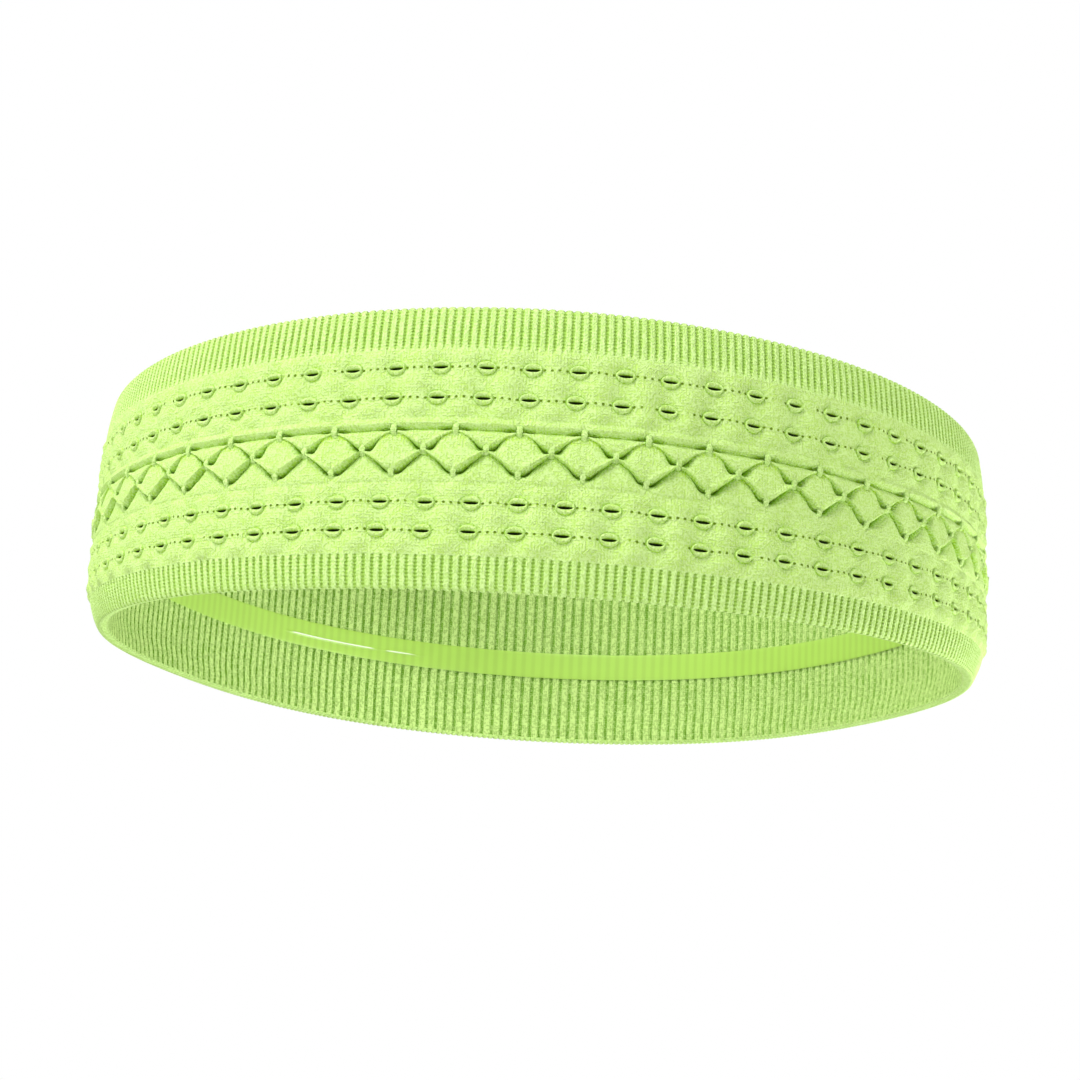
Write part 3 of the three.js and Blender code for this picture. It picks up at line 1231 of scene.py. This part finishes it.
class HEADBAND_OT_elastics(bpy.types.Operator):
    """Lay the elastic tapes inside the two hems"""

    bl_idname = "headband.elastics"
    bl_label = "Hem Elastics"

    def execute(self, context):
        for node in ("top_hem_elastic", "bottom_hem_elastic"):
            low, high = (corner.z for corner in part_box(node))
            unit = tape_unit(node + "_unit", girth_length() / TAPE_UNITS, low, high)
            piece = knit_round(node + "_tape", unit, TAPE_UNITS, elastic())
            place(piece, node, "elastic")
        return {"FINISHED"}


# Where each square light stands, and the length of its side, in metres
LIGHTS = {
    "key": ((-0.35, -0.5, 0.8), 0.5),
    "side": ((-0.8, -0.42, -0.05), 0.5),
    "fill": ((0.45, -0.42, -0.18), 0.4),
    "inner": ((0.35, 0.08, -0.18), 0.25),
}


class HEADBAND_OT_studio(bpy.types.Operator):
    """Set up the pale floor, the soft lights and the camera"""

    bl_idname = "headband.studio"
    bl_label = "Studio"

    def execute(self, context):
        scene = context.scene
        studio = scene.headband_studio
        self.make_camera(scene, studio)
        self.make_floor(scene)
        for name, (where, size) in LIGHTS.items():
            self.make_light(scene, name.capitalize() + " light", getattr(studio, name), where, size)
        self.make_sky(scene, studio)
        scene.view_settings.view_transform = "Standard"
        return {"FINISHED"}

    def make_camera(self, scene, studio):
        data = bpy.data.cameras.new("Camera")
        data.lens = studio.lens
        data.sensor_width = 36
        data.clip_start = 0.01
        camera = bpy.data.objects.new("Camera", data)
        rise = Matrix.Rotation(studio.rise, 3, "X")
        roll = Matrix.Rotation(studio.roll, 3, "Y")
        turn = Matrix.Rotation(-studio.turn, 3, "Z")
        aim = turn @ rise @ roll
        right = aim @ Vector((1, 0, 0))
        forward = aim @ Vector((0, 1, 0))
        up = aim @ Vector((0, 0, 1))
        middle = Vector((0, 0, HEIGHT / 2))
        where = middle + right * studio.aside + up * studio.above - forward * studio.distance
        camera.matrix_world = Matrix((
            (right.x, up.x, -forward.x, where.x),
            (right.y, up.y, -forward.y, where.y),
            (right.z, up.z, -forward.z, where.z),
            (0, 0, 0, 1),
        ))
        scene.collection.objects.link(camera)
        scene.camera = camera

    def make_floor(self, scene):
        disc = bmesh.new()
        bmesh.ops.create_circle(disc, cap_ends=True, segments=96, radius=1.0)
        bmesh.ops.translate(disc, verts=disc.verts, vec=(0, 0, -0.2))
        mesh = bpy.data.meshes.new("Floor")
        disc.to_mesh(mesh)
        disc.free()
        material, g = new_material("floor")
        grain = g.node("ShaderNodeTexNoise", {"Scale": 40.0, "Detail": 2.0})
        surface(g, (0.75, 0.75, 0.75, 1.0), 0.7 + grain * 0.05, g.bump(grain, 0.02, 1 * MM))
        mesh.materials.append(material)
        floor = bpy.data.objects.new("Floor", mesh)
        scene.collection.objects.link(floor)

    def make_light(self, scene, name, power, where, size):
        data = bpy.data.lights.new(name, "AREA")
        data.energy = power
        data.size = size
        light = bpy.data.objects.new(name, data)
        light.location = where
        light.rotation_euler = (-Vector(where)).to_track_quat("-Z", "Y").to_euler()
        light.visible_camera = False
        scene.collection.objects.link(light)

    def make_sky(self, scene, studio):
        world = bpy.data.worlds.new("Sky")
        world.use_nodes = True
        world.node_tree.nodes.clear()
        g = Graph(world.node_tree)
        rightward, _, _ = g.separate(g.node("ShaderNodeTexCoord"))
        brightness = (1.0 - rightward * studio.sky_lean) * studio.sky
        soft = g.node("ShaderNodeBackground", {"Color": (1, 1, 1, 1), "Strength": brightness})
        white = g.node("ShaderNodeBackground", {"Color": (1, 1, 1, 1), "Strength": 1.0})
        seen = g.node("ShaderNodeLightPath", out=0)
        both = g.node("ShaderNodeMixShader", {0: seen, 1: soft, 2: white})
        g.node("ShaderNodeOutputWorld", {"Surface": both})
        scene.world = world


STEPS = (
    HEADBAND_OT_studio,
    HEADBAND_OT_bottom_hem,
    HEADBAND_OT_eyelet_panels,
    HEADBAND_OT_honeycomb,
    HEADBAND_OT_threads,
    HEADBAND_OT_top_hem,
    HEADBAND_OT_lining,
    HEADBAND_OT_grip,
    HEADBAND_OT_elastics,
)


class HEADBAND_PT_panel(bpy.types.Panel):
    """Buttons for each piece of the headband, and its sizes"""

    bl_idname = "HEADBAND_PT_panel"
    bl_label = "Headband"
    bl_space_type = "VIEW_3D"
    bl_region_type = "UI"
    bl_category = "Headband"

    def draw(self, context):
        for step in STEPS:
            self.layout.operator(step.bl_idname)
        for group in SETTINGS:
            box = self.layout.box()
            settings = getattr(context.scene, group)
            for name in settings.bl_rna.properties.keys():
                if name not in ("rna_type", "name"):
                    box.prop(settings, name)


SETTINGS = {
    "headband_knit": HeadbandKnit,
    "headband_drape": HeadbandDrape,
    "headband_colours": HeadbandColours,
    "headband_studio": HeadbandStudio,
}


def register():
    for group in SETTINGS.values():
        bpy.utils.register_class(group)
    for step in (*STEPS, HEADBAND_PT_panel):
        bpy.utils.register_class(step)
    for name, group in SETTINGS.items():
        setattr(bpy.types.Scene, name, PointerProperty(type=group))


def unregister():
    for name in SETTINGS:
        delattr(bpy.types.Scene, name)
    for made in (HEADBAND_PT_panel, *reversed(STEPS), *SETTINGS.values()):
        bpy.utils.unregister_class(made)


def main():
    register()
    for step in STEPS:
        group, name = step.bl_idname.split(".")
        getattr(getattr(bpy.ops, group), name)()
    bpy.data.objects.remove(girth_line())


if __name__ == "__main__":
    main()
